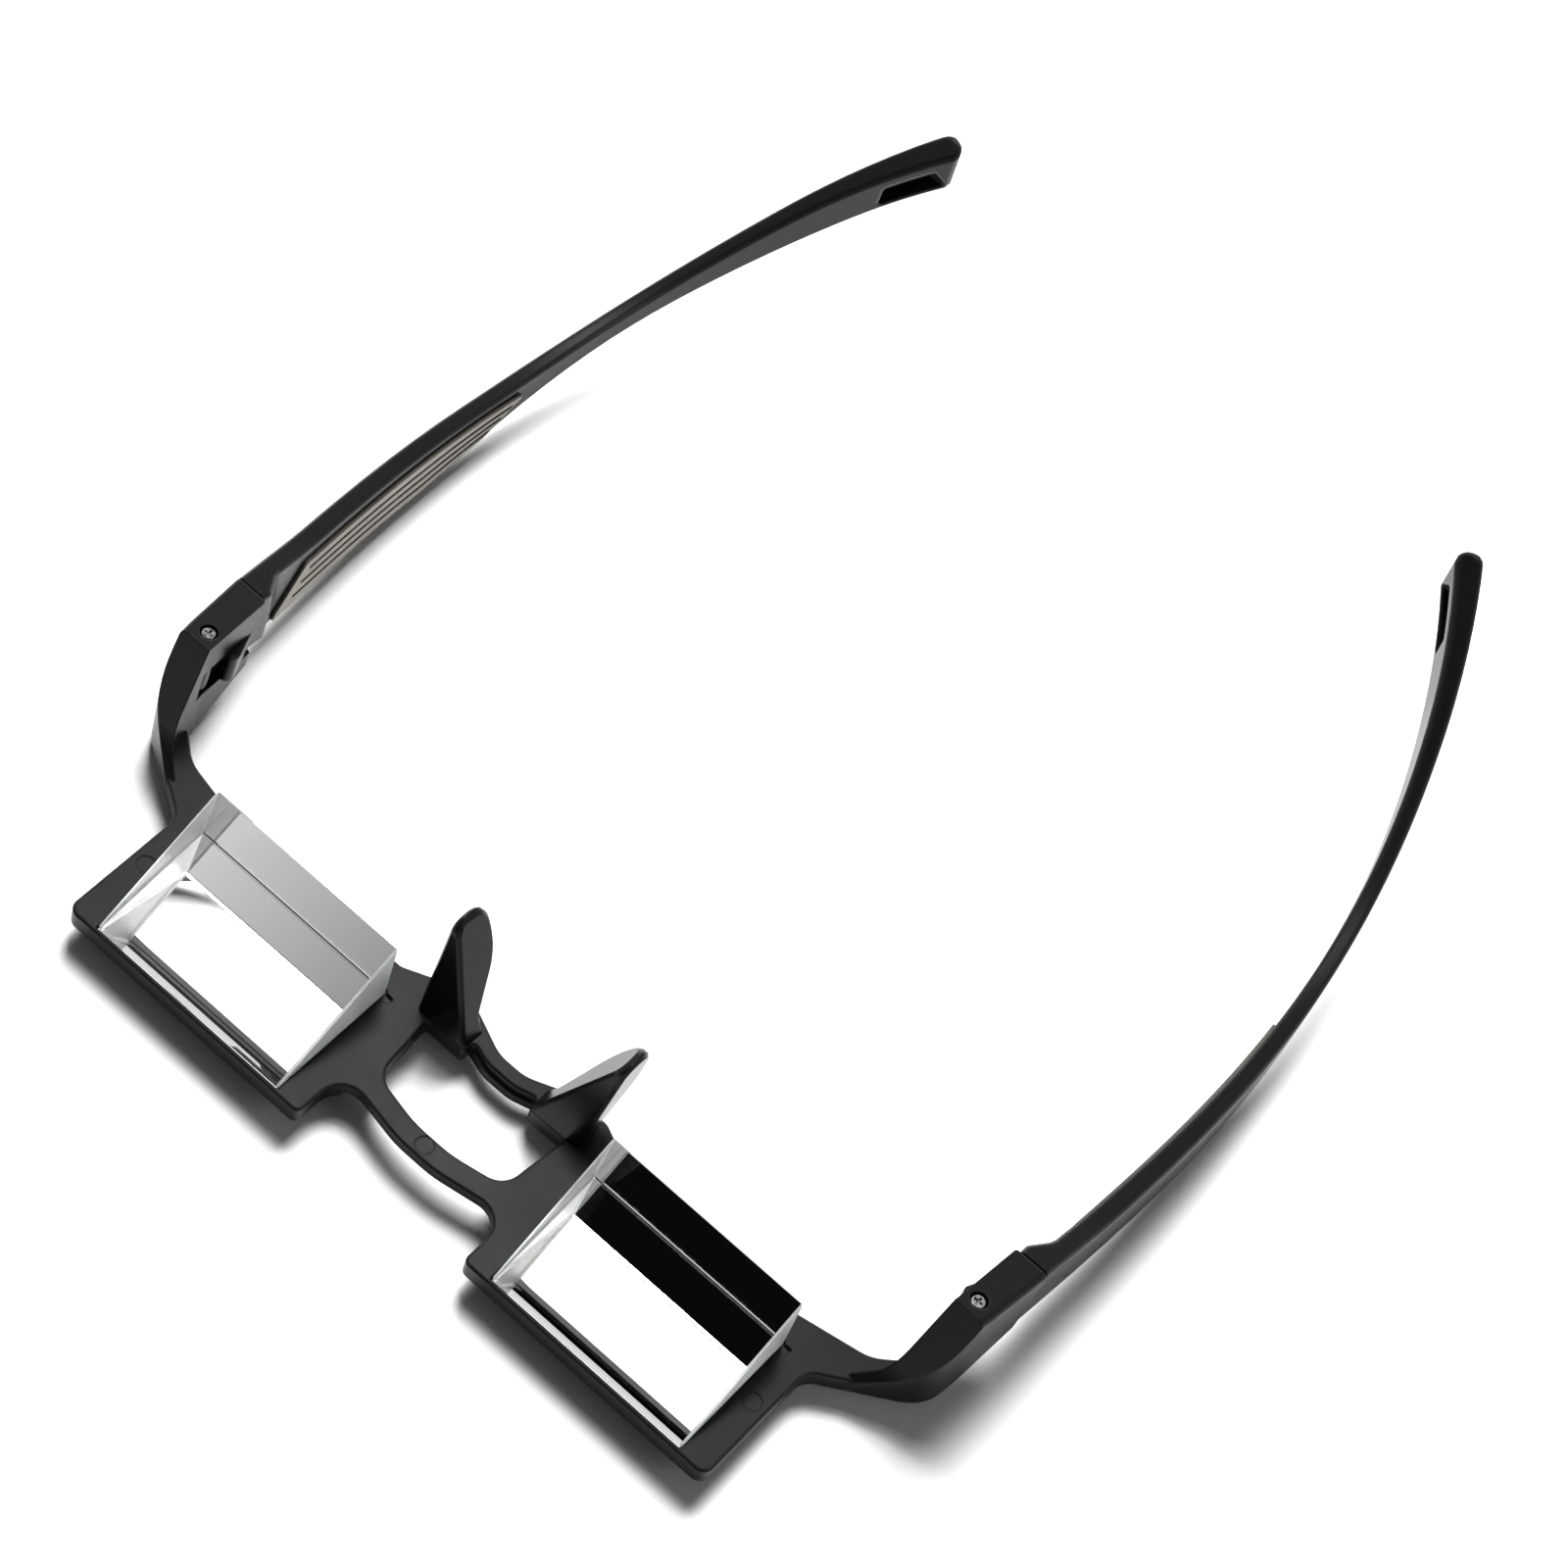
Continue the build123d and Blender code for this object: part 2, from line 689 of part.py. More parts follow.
with BuildPart() as temple_right:
    with BuildSketch(table) as temple_plan:
        with BuildLine():
            temple_band(inner_face, outer_face)
        make_face()
    extrude(amount=tall)
    add(shoulder.part)
    with BuildSketch(side) as temple_side:
        with BuildLine():
            rounded_outline([
                (*joint_top, 0),
                (temple_top_front_y, temple_top_front_z, temple_top_front_radius),
                (temple_top_low_y, temple_top_low_z, temple_top_low_radius),
                (tip_top_y, tip_top_z, tip_radius),
                (tip_bottom_y, tip_bottom_z, tip_radius),
                (temple_rise_y, temple_rise_z, temple_rise_radius),
                (temple_sole_y, temple_sole_z, temple_sole_radius),
                (*joint_bottom, 0),
            ])
        make_face()
    extrude(amount=tall + hinge_x, mode=Mode.INTERSECT)
    joint_edges = temple_right.faces().sort_by(Axis.Y)[0].edges()
    chamfer(temple_right.edges() - joint_edges, length=temple_bevel)
    # The tongue that turns on the screw, with its barrel and inner cheek
    with BuildSketch(hinge.offset(-slot_top - tongue_gap)) as tongue:
        Circle(barrel_radius)
        with Locations((shoulder_x - hinge_x, 0)):
            Rectangle(
                hinge_x - shoulder_x + tongue_outer_width,
                block_rear + joint_gap + tongue_root,
                align=(Align.MIN, Align.MIN),
            )
        with BuildLine():
            rounded_outline([
                (-cheek_reach, cheek_start, cheek_radius),
                (shoulder_x - hinge_x, block_rear + joint_gap, 0),
                (shoulder_end_x - hinge_x, cheek_end, 0),
                (0, cheek_start, 0),
            ])
        make_face()
    extrude(amount=2 * tongue_gap - slot_height)
    with BuildSketch(hinge) as pivot_hole:
        Circle(screw_shank_radius + screw_running_clearance)
    extrude(amount=-block_height, mode=Mode.SUBTRACT)
    add(inlay_bed, mode=Mode.SUBTRACT)
    add(cord_pocket, mode=Mode.SUBTRACT)
temple_right.part.label = "temple_right"
export_step(temple_right.part, "parts/temple_right.step")

with BuildPart() as temple_left:
    add(mirror(temple_right.part, about=Plane.YZ), clean=False)
temple_left.part.label = "temple_left"
export_step(temple_left.part, "parts/temple_left.step")

# Inlays: ribbed strips set in the beds, standing a little proud of them
with BuildPart() as temple_inlay_right:
    add(inlay_body)
    for groove in inlay_grooves:
        add(groove, mode=Mode.SUBTRACT)
temple_inlay_right.part.label = "temple_inlay_right"
export_step(temple_inlay_right.part, "parts/temple_inlay_right.step")

with BuildPart() as temple_inlay_left:
    add(mirror(temple_inlay_right.part, about=Plane.YZ), clean=False)
temple_inlay_left.part.label = "temple_inlay_left"
export_step(temple_inlay_left.part, "parts/temple_inlay_left.step")
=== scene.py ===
"""Looks for the prism bed glasses: finishes, silvered prism faces, table, light and camera."""

import logging
import math
from dataclasses import dataclass
from enum import Enum

import bmesh
import bpy
from mathutils import Matrix, Vector


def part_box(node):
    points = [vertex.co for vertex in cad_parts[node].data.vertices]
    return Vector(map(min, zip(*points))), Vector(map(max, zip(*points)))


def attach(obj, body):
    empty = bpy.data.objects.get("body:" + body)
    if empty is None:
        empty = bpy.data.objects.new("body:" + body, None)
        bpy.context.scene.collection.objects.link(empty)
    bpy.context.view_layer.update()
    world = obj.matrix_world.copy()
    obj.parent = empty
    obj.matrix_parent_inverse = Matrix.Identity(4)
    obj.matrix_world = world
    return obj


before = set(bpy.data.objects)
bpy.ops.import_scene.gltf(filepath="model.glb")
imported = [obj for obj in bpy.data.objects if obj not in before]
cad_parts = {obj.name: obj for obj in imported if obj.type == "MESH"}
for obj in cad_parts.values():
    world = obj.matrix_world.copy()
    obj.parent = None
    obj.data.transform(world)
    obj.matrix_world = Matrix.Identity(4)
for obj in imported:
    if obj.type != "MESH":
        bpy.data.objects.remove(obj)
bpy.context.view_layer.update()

log = logging.getLogger("prism_bed_glasses")
MM = 0.001
Colour = tuple[float, float, float]
Point = tuple[float, float, float]
Span = tuple[float, float]
NONE_TO_ALL: Span = (0.0, 1.0)


class Slot(Enum):
    """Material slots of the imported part."""

    FRAME = "frame_plastic"
    PAD = "pad_plastic"
    GLASS = "prism_glass"
    INLAY = "inlay_plastic"
    STEEL = "screw_steel"


class Side(Enum):
    """The wearer's right, at positive X, and left, as the nodes' names end."""

    RIGHT = "right"
    LEFT = "left"


class Graph:
    """A material's node tree, with short ways to add and join nodes.

    Edges are told by the cosine of the turn of a rounded normal, and shelter by how much
    of the sky a point sees.
    """

    edge_samples = 6
    flat_to_edge: Span = (1.0, 0.72)
    shelter_samples = 8
    open_to_sheltered: Span = (0.95, 0.45)

    def __init__(self, name: str) -> None:
        """Start an empty node tree.

        Args:
            name: The material's name.
        """
        self.material = bpy.data.materials.new(name)
        self.material.use_nodes = True
        self.tree = self.material.node_tree
        self.tree.nodes.clear()
        self.output = self.tree.nodes.new("ShaderNodeOutputMaterial")

    def add(self, kind: str, **values: object) -> bpy.types.Node:
        """Add a node and set its properties and unlinked inputs.

        Args:
            kind: The node's type without its ShaderNode prefix.
            values: Property or input values; an input's name has _ for a space.

        Returns:
            The new node.
        """
        node = self.tree.nodes.new("ShaderNode" + kind)
        for key, value in values.items():
            label = key.replace("_", " ")
            if label in node.inputs:
                node.inputs[label].default_value = value
            else:
                setattr(node, key, value)
        return node

    def join(self, source: bpy.types.NodeSocket, target: bpy.types.NodeSocket) -> None:
        """Link an output socket to an input socket."""
        self.tree.links.new(source, target)

    def math(
        self, operation: str, first: bpy.types.NodeSocket, second: object = 0.0
    ) -> bpy.types.NodeSocket:
        """Work out one sum on a socket.

        Args:
            operation: The Math node's operation.
            first: The first value's socket.
            second: A number or another socket.

        Returns:
            The result's socket.
        """
        node = self.add("Math", operation=operation)
        self.join(first, node.inputs[0])
        if isinstance(second, bpy.types.NodeSocket):
            self.join(second, node.inputs[1])
        else:
            node.inputs[1].default_value = second
        return node.outputs[0]

    def noise(
        self, scale: float, detail: float, stretch: Vector | None = None
    ) -> bpy.types.NodeSocket:
        """Noise on the object's own coordinates.

        Args:
            scale: Cells per metre.
            detail: Octaves of finer noise.
            stretch: Scale of each axis, or none.

        Returns:
            The noise value's socket.
        """
        place = self.add("TexCoord").outputs["Object"]
        if stretch is not None:
            mapping = self.add("Mapping")
            mapping.inputs["Scale"].default_value = stretch
            self.join(place, mapping.inputs["Vector"])
            place = mapping.outputs["Vector"]
        node = self.add("TexNoise", Scale=scale, Detail=detail)
        self.join(place, node.inputs["Vector"])
        return node.outputs["Fac"]

    def ramp(self, value: bpy.types.NodeSocket, source: Span, target: Span) -> bpy.types.NodeSocket:
        """Map a value's range onto another.

        Args:
            value: The value's socket.
            source: Where the input range starts and ends.
            target: The results at its start and end.

        Returns:
            The result's socket.
        """
        node = self.add("MapRange")
        for name, number in zip(("From Min", "From Max", "To Min", "To Max"), (*source, *target)):
            node.inputs[name].default_value = number
        self.join(value, node.inputs["Value"])
        return node.outputs["Result"]

    def tint(self, value: bpy.types.NodeSocket, low: Colour, high: Colour) -> bpy.types.NodeSocket:
        """Blend two colours by a value.

        Args:
            value: Share of the second colour.
            low: First colour, linear.
            high: Second colour, linear.

        Returns:
            The colour's socket.
        """
        node = self.add("Mix", data_type="RGBA")
        colours = [socket for socket in node.inputs if socket.type == "RGBA"]
        colours[0].default_value = (*low, 1.0)
        colours[1].default_value = (*high, 1.0)
        self.join(value, node.inputs[0])
        return next(socket for socket in node.outputs if socket.type == "RGBA")

    def soft_edge(self, radius: float) -> bpy.types.NodeSocket:
        """Normal rounded over the shape's sharp edges by a radius in metres."""
        return self.add("Bevel", samples=self.edge_samples, Radius=radius).outputs["Normal"]

    def edge_share(self, rounded: bpy.types.NodeSocket) -> bpy.types.NodeSocket:
        """Tell how much of an edge a point is, from how far its rounded normal turns.

        Args:
            rounded: The rounded normal's socket.

        Returns:
            A socket that is 0 on a flat and 1 on an edge.
        """
        flat = self.add("NewGeometry").outputs["Normal"]
        dot = self.add("VectorMath", operation="DOT_PRODUCT")
        self.join(flat, dot.inputs[0])
        self.join(rounded, dot.inputs[1])
        return self.ramp(dot.outputs["Value"], self.flat_to_edge, NONE_TO_ALL)

    def sheltered(self, reach: float) -> bpy.types.NodeSocket:
        """Share of shelter at a point by walls within a reach in metres."""
        shelter = self.add("AmbientOcclusion", samples=self.shelter_samples, Distance=reach)
        return self.ramp(shelter.outputs["AO"], self.open_to_sheltered, NONE_TO_ALL)

    def darken(
        self, colour: bpy.types.NodeSocket, share: bpy.types.NodeSocket, depth: float
    ) -> bpy.types.NodeSocket:
        """Darken a colour by a share.

        Args:
            colour: The colour's socket.
            share: Where it is darkened, from 0 to 1.
            depth: Part of the colour that is taken away at a share of 1.

        Returns:
            The darker colour's socket.
        """
        kept = self.ramp(share, NONE_TO_ALL, (1.0, 1.0 - depth))
        scale = self.add("VectorMath", operation="SCALE")
        self.join(colour, scale.inputs[0])
        self.join(kept, scale.inputs["Scale"])
        return scale.outputs[0]

    def relief(
        self,
        height: bpy.types.NodeSocket,
        depth: float,
        normal: bpy.types.NodeSocket | None = None,
    ) -> bpy.types.NodeSocket:
        """Bumps of a depth in metres on a normal.

        Args:
            height: Height pattern from 0 to 1.
            depth: Height of the pattern in metres.
            normal: Normal to start from, or none.

        Returns:
            The bumped normal's socket.
        """
        node = self.add("Bump", Strength=1.0, Distance=depth)
        self.join(height, node.inputs["Height"])
        if normal is not None:
            self.join(normal, node.inputs["Normal"])
        return node.outputs["Normal"]

    def finish(self, shader: bpy.types.Node) -> bpy.types.Material:
        """Join a shader to the output and return the material."""
        self.join(shader.outputs[0], self.output.inputs["Surface"])
        return self.material


@dataclass(frozen=True)
class MouldedPlastic:
    """Moulded plastic with fine grain, uneven gloss, a painted edge tone and painted shade in
    grooves.

    The edge tone is a painted highlight along the edges where it is lighter than the body, and
    painted shade where it is darker. Grain and cloud are in cells per metre, and grain depth, edge
    radius and groove in metres.
    """

    name: str
    colour: Colour
    # Painted edge tone: a painted highlight when lighter than the body colour, painted shade when
    # darker.
    painted_edge_colour: Colour
    roughness: float
    gloss_spread: float
    sheen: float = 0.13
    ior: float = 1.5
    grain: float = 2600.0
    grain_depth: float = 0.012 * MM
    edge_radius: float = 0.4 * MM
    cloud: float = 60.0
    # Random patches in which the painted edge tone shows more or less.
    edge_patch_cloud: Span = (0.35, 0.65)
    edge_patch_share: Span = (0.5, 1.0)
    gloss_cloud: Span = (0.3, 0.7)
    # Painted shade: how far sheltered grooves are darkened (0 for none).
    grime_and_shade: float = 0.0
    groove: float = 1.4 * MM

    def make(self) -> bpy.types.Material:
        """Build the material.

        Returns:
            The material.
        """
        graph = Graph(self.name)
        rounded = graph.soft_edge(self.edge_radius)
        edge = graph.edge_share(rounded)
        cloud = graph.noise(self.cloud, detail=3.0)
        grain = graph.noise(self.grain, detail=2.0)
        # Painted edge tone: edges blend in random patches toward the edge colour. A lighter edge
        # colour paints a highlight along the edges, a darker one paints shade.
        edge_patches = graph.ramp(cloud, self.edge_patch_cloud, self.edge_patch_share)
        shader = graph.add("BsdfPrincipled", IOR=self.ior, Specular_IOR_Level=self.sheen)
        colour = graph.tint(graph.math("MULTIPLY", edge, edge_patches), self.colour, self.painted_edge_colour)
        # Painted shade: the colour is darkened where nearby walls shelter a point, as in grooves.
        if self.grime_and_shade > 0.0:
            colour = graph.darken(colour, graph.sheltered(self.groove), self.grime_and_shade)
        graph.join(colour, shader.inputs["Base Color"])
        gloss = (self.roughness - self.gloss_spread, self.roughness + self.gloss_spread)
        graph.join(graph.ramp(cloud, self.gloss_cloud, gloss), shader.inputs["Roughness"])
        graph.join(graph.relief(grain, self.grain_depth, rounded), shader.inputs["Normal"])
        return graph.finish(shader)


@dataclass(frozen=True)
class PrismGlass:
    """Optical glass: ground ends, and everything else polished.

    Smear and grit are in cells per metre. An end faces along X by more than end_facing.
    """

    name: str = Slot.GLASS.value
    ior: float = 1.52
    clear_colour: Colour = (0.985, 0.995, 0.99)
    smear: float = 90.0
    smear_range: Span = (0.66, 0.8)
    smear_roughness: Span = (0.0, 0.01)
    end_facing: float = 0.3
    ground_colour: Colour = (0.58, 0.60, 0.60)
    ground_clearness: float = 0.55
    ground_roughness: Span = (0.35, 0.55)
    grit: float = 9000.0
    grit_range: Span = (0.3, 0.7)
    grit_depth: float = 0.01 * MM

    def make(self) -> bpy.types.Material:
        """Build the material.

        Returns:
            The material.
        """
        graph = Graph(self.name)
        facing = graph.add("SeparateXYZ")
        graph.join(graph.add("TexCoord").outputs["Normal"], facing.inputs[0])
        sideways = graph.math("ABSOLUTE", facing.outputs["X"])
        polish = graph.math("LESS_THAN", sideways, self.end_facing)
        clear = graph.add("BsdfPrincipled", IOR=self.ior, Transmission_Weight=1.0)
        clear.inputs["Base Color"].default_value = (*self.clear_colour, 1.0)
        smear = graph.noise(self.smear, detail=4.0)
        haze = graph.ramp(smear, self.smear_range, self.smear_roughness)
        graph.join(haze, clear.inputs["Roughness"])
        ground = graph.add(
            "BsdfPrincipled", IOR=self.ior, Transmission_Weight=self.ground_clearness
        )
        ground.inputs["Base Color"].default_value = (*self.ground_colour, 1.0)
        grit = graph.noise(self.grit, detail=2.0)
        dull = graph.ramp(grit, self.grit_range, self.ground_roughness)
        graph.join(dull, ground.inputs["Roughness"])
        graph.join(graph.relief(grit, self.grit_depth), ground.inputs["Normal"])
        blend = graph.add("MixShader")
        graph.join(polish, blend.inputs["Fac"])
        graph.join(ground.outputs[0], blend.inputs[1])
        graph.join(clear.outputs[0], blend.inputs[2])
        return graph.finish(blend)


@dataclass(frozen=True)
class Silvering:
    """Vacuum-laid aluminium mirror with faint pinholes and haze, in cells per metre."""

    name: str = "prism_silvering"
    colour: Colour = (0.95, 0.94, 0.925)
    haze: float = 140.0
    haze_range: Span = (0.66, 0.85)
    haze_roughness: Span = (0.0, 0.01)
    pinhole_colour: Colour = (0.55, 0.56, 0.58)
    pinhole: float = 1500.0
    pinhole_range: Span = (0.86, 0.88)

    def make(self) -> bpy.types.Material:
        """Build the material.

        Returns:
            The material.
        """
        graph = Graph(self.name)
        shader = graph.add("BsdfPrincipled", Metallic=1.0)
        haze = graph.noise(self.haze, detail=4.0)
        dull = graph.ramp(haze, self.haze_range, self.haze_roughness)
        graph.join(dull, shader.inputs["Roughness"])
        specks = graph.noise(self.pinhole, detail=0.0)
        pinholes = graph.ramp(specks, self.pinhole_range, NONE_TO_ALL)
        colour = graph.tint(pinholes, self.colour, self.pinhole_colour)
        graph.join(colour, shader.inputs["Base Color"])
        return graph.finish(shader)


@dataclass(frozen=True)
class TurnedSteel:
    """Small turned steel screw with fine tool lines and grime, in cells per metre."""

    name: str = Slot.STEEL.value
    colour: Colour = (0.6, 0.6, 0.6)
    edge_radius: float = 0.05 * MM
    tool_line: float = 5200.0
    tool_line_stretch: Point = (1.0, 1.0, 0.15)
    tool_line_range: Span = (0.3, 0.7)
    tool_line_depth: float = 0.01 * MM
    roughness: Span = (0.22, 0.42)
    grime_colour: Colour = (0.12, 0.12, 0.12)
    # Cells per metre of random grime patches on the steel.
    grime_and_shade: float = 900.0
    grime_range: Span = (0.4, 0.7)

    def make(self) -> bpy.types.Material:
        """Build the material.

        Returns:
            The material.
        """
        graph = Graph(self.name)
        shader = graph.add("BsdfPrincipled", Metallic=1.0)
        rounded = graph.soft_edge(self.edge_radius)
        lines = graph.noise(self.tool_line, detail=2.0, stretch=Vector(self.tool_line_stretch))
        dull = graph.ramp(lines, self.tool_line_range, self.roughness)
        graph.join(dull, shader.inputs["Roughness"])
        grime_and_shade = graph.ramp(graph.noise(self.grime_and_shade, detail=3.0), self.grime_range, NONE_TO_ALL)
        colour = graph.tint(grime_and_shade, self.colour, self.grime_colour)
        graph.join(colour, shader.inputs["Base Color"])
        graph.join(graph.relief(lines, self.tool_line_depth, rounded), shader.inputs["Normal"])
        return graph.finish(shader)


def dress(node: str, material: bpy.types.Material) -> str:
    """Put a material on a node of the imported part.

    Args:
        node: The node's name.
        material: The finish it gets.

    Returns:
        The node's name.
    """
    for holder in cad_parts[node].material_slots:
        holder.material = material
    return node


def add_object(
    name: str, mesh: bmesh.types.BMesh, material: bpy.types.Material
) -> bpy.types.Object:
    """Turn a bmesh into an object of the scene.

    Args:
        name: The object's name.
        mesh: Its shape, in place, in metres.
        material: Its finish.

    Returns:
        The new object.
    """
    data = bpy.data.meshes.new(name)
    mesh.to_mesh(data)
    mesh.free()
    data.materials.append(material)
    made = bpy.data.objects.new(name, data)
    bpy.context.scene.collection.objects.link(made)
    return made


@dataclass
class FrontFrame:
    """The moulded front with its deck, bridge, arms and hinge blocks."""

    plastic: bpy.types.Material

    def build(self) -> list[str]:
        """Dress the front and return the names of its pieces."""
        return [dress("front_frame", self.plastic)]


@dataclass
class Prism:
    """A glass prism and the silvered layer under its long leg."""

    side: Side
    glass: bpy.types.Material
    silver: bpy.types.Material
    tilt: float = math.radians(2.4)
    edge_inset: float = 0.12 * MM
    layer: float = 0.02 * MM
    gap: float = 0.012 * MM

    def build(self) -> list[str]:
        """Dress the glass, lay the silvering and return the names of both."""
        node = dress("prism_" + self.side.value, self.glass)
        return [node, self.lay_silvering(node)]

    def lay_silvering(self, node: str) -> str:
        """Lay a thin silver sheet in the gap under the glass.

        Args:
            node: The prism's node.

        Returns:
            The sheet's name.
        """
        low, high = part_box(node)
        turn = Matrix.Rotation(-self.tilt, 4, "X")
        corners = [turn.inverted() @ v.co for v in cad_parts[node].data.vertices]
        under = min(point.z for point in corners) - self.gap - self.layer / 2
        front = min(point.y for point in corners) + self.edge_inset
        rear = max(point.y for point in corners) - self.edge_inset
        size = Vector((high.x - low.x - 2 * self.edge_inset, rear - front, self.layer))
        middle = Vector(((low.x + high.x) / 2, (front + rear) / 2, under))
        sheet = bmesh.new()
        bmesh.ops.create_cube(sheet, size=1.0)
        bmesh.ops.scale(sheet, vec=size, verts=sheet.verts)
        bmesh.ops.translate(sheet, vec=middle, verts=sheet.verts)
        bmesh.ops.transform(sheet, matrix=turn, verts=sheet.verts)
        bmesh.ops.recalc_face_normals(sheet, faces=sheet.faces)
        piece = add_object("silvering_" + self.side.value, sheet, self.silver)
        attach(piece, "front")
        return piece.name


@dataclass
class NosePad:
    """A moulded fin that rests on the nose."""

    side: Side
    plastic: bpy.types.Material

    def build(self) -> list[str]:
        """Dress the pad and return the names of its pieces."""
        return [dress("nose_pad_" + self.side.value, self.plastic)]


@dataclass
class HingeScrew:
    """The screw that a temple turns on."""

    side: Side
    steel: bpy.types.Material

    def build(self) -> list[str]:
        """Dress the screw and return the names of its pieces."""
        return [dress("hinge_screw_" + self.side.value, self.steel)]


@dataclass
class Temple:
    """A temple and the ribbed inlay on its inner face."""

    side: Side
    plastic: bpy.types.Material
    inlay: bpy.types.Material

    def build(self) -> list[str]:
        """Dress the temple and its inlay and return their names."""
        arm = dress("temple_" + self.side.value, self.plastic)
        return [arm, dress("temple_inlay_" + self.side.value, self.inlay)]


def seen_share(tree: bpy.types.NodeTree) -> bpy.types.NodeSocket:
    """Tell where the camera, a reflection or the glass looks at a surface.

    Args:
        tree: The node tree that asks.

    Returns:
        A socket that is 1 for such rays and 0 for the ones that light the object.
    """
    path = tree.nodes.new("ShaderNodeLightPath")
    seen = path.outputs["Is Camera Ray"]
    for name in ("Is Glossy Ray", "Is Transmission Ray"):
        either = tree.nodes.new("ShaderNodeMath")
        either.operation = "MAXIMUM"
        tree.links.new(seen, either.inputs[0])
        tree.links.new(path.outputs[name], either.inputs[1])
        seen = either.outputs[0]
    return seen


def level_sheet(half: float, place: Vector) -> bmesh.types.BMesh:
    """Make a level square.

    Args:
        half: Half of its side, in metres.
        place: Its middle, in metres.

    Returns:
        The square's bmesh.
    """
    sheet = bmesh.new()
    bmesh.ops.create_grid(sheet, x_segments=1, y_segments=1, size=half)
    bmesh.ops.translate(sheet, vec=place, verts=sheet.verts)
    return sheet


@dataclass(frozen=True)
class Lamp:
    """A square softbox, with its size in metres and its power in watts."""

    name: str
    place: Point
    target: Point
    size: float
    power: float
    reflected: bool = True

    def hang(self) -> str:
        """Hang the lamp and aim it.

        Returns:
            The lamp's name.
        """
        data = bpy.data.lights.new(self.name, "AREA")
        data.shape = "SQUARE"
        data.size = self.size
        data.energy = self.power
        lamp = bpy.data.objects.new(self.name, data)
        bpy.context.scene.collection.objects.link(lamp)
        aim = Vector(self.target) - Vector(self.place)
        lamp.location = self.place
        lamp.rotation_euler = aim.to_track_quat("-Z", "Y").to_euler()
        lamp.visible_glossy = self.reflected
        return lamp.name


@dataclass(frozen=True)
class Card:
    """A level card that only reflections see, and the glass too where it is told so."""

    name: str
    place: Point
    half: float
    tone: float = 1.0
    through_glass: bool = False

    def shade(self, graph: Graph, glow: bpy.types.Node) -> None:
        """Give the card one even tone."""
        glow.inputs["Color"].default_value = (self.tone, self.tone, self.tone, 1.0)

    def hang(self) -> str:
        """Hang the card.

        Returns:
            The card's name.
        """
        graph = Graph(self.name + "_glow")
        glow = graph.add("Emission")
        self.shade(graph, glow)
        sheet = level_sheet(self.half, Vector(self.place))
        card = add_object(self.name, sheet, graph.finish(glow))
        card.visible_camera = False
        card.visible_diffuse = False
        card.visible_shadow = False
        card.visible_transmission = self.through_glass
        return card.name


@dataclass(frozen=True)
class Ceiling(Card):
    """The ceiling that the prisms throw back: grey over the left one, unlit over the right."""

    fade_x: Span = (-0.30, -0.20)
    fade_tones: Span = (0.74, 0.30)
    unlit_x: Span = (-0.175, -0.155)
    lit_share: Span = (1.0, 0.01)

    def shade(self, graph: Graph, glow: bpy.types.Node) -> None:
        """Let the tone fall along X.

        Args:
            graph: The card's node tree.
            glow: Its Emission node.
        """
        across = graph.add("SeparateXYZ")
        graph.join(graph.add("TexCoord").outputs["Object"], across.inputs[0])
        wall = graph.ramp(across.outputs["X"], self.fade_x, self.fade_tones)
        lit = graph.ramp(across.outputs["X"], self.unlit_x, self.lit_share)
        graph.join(graph.math("MULTIPLY", wall, lit), glow.inputs["Color"])


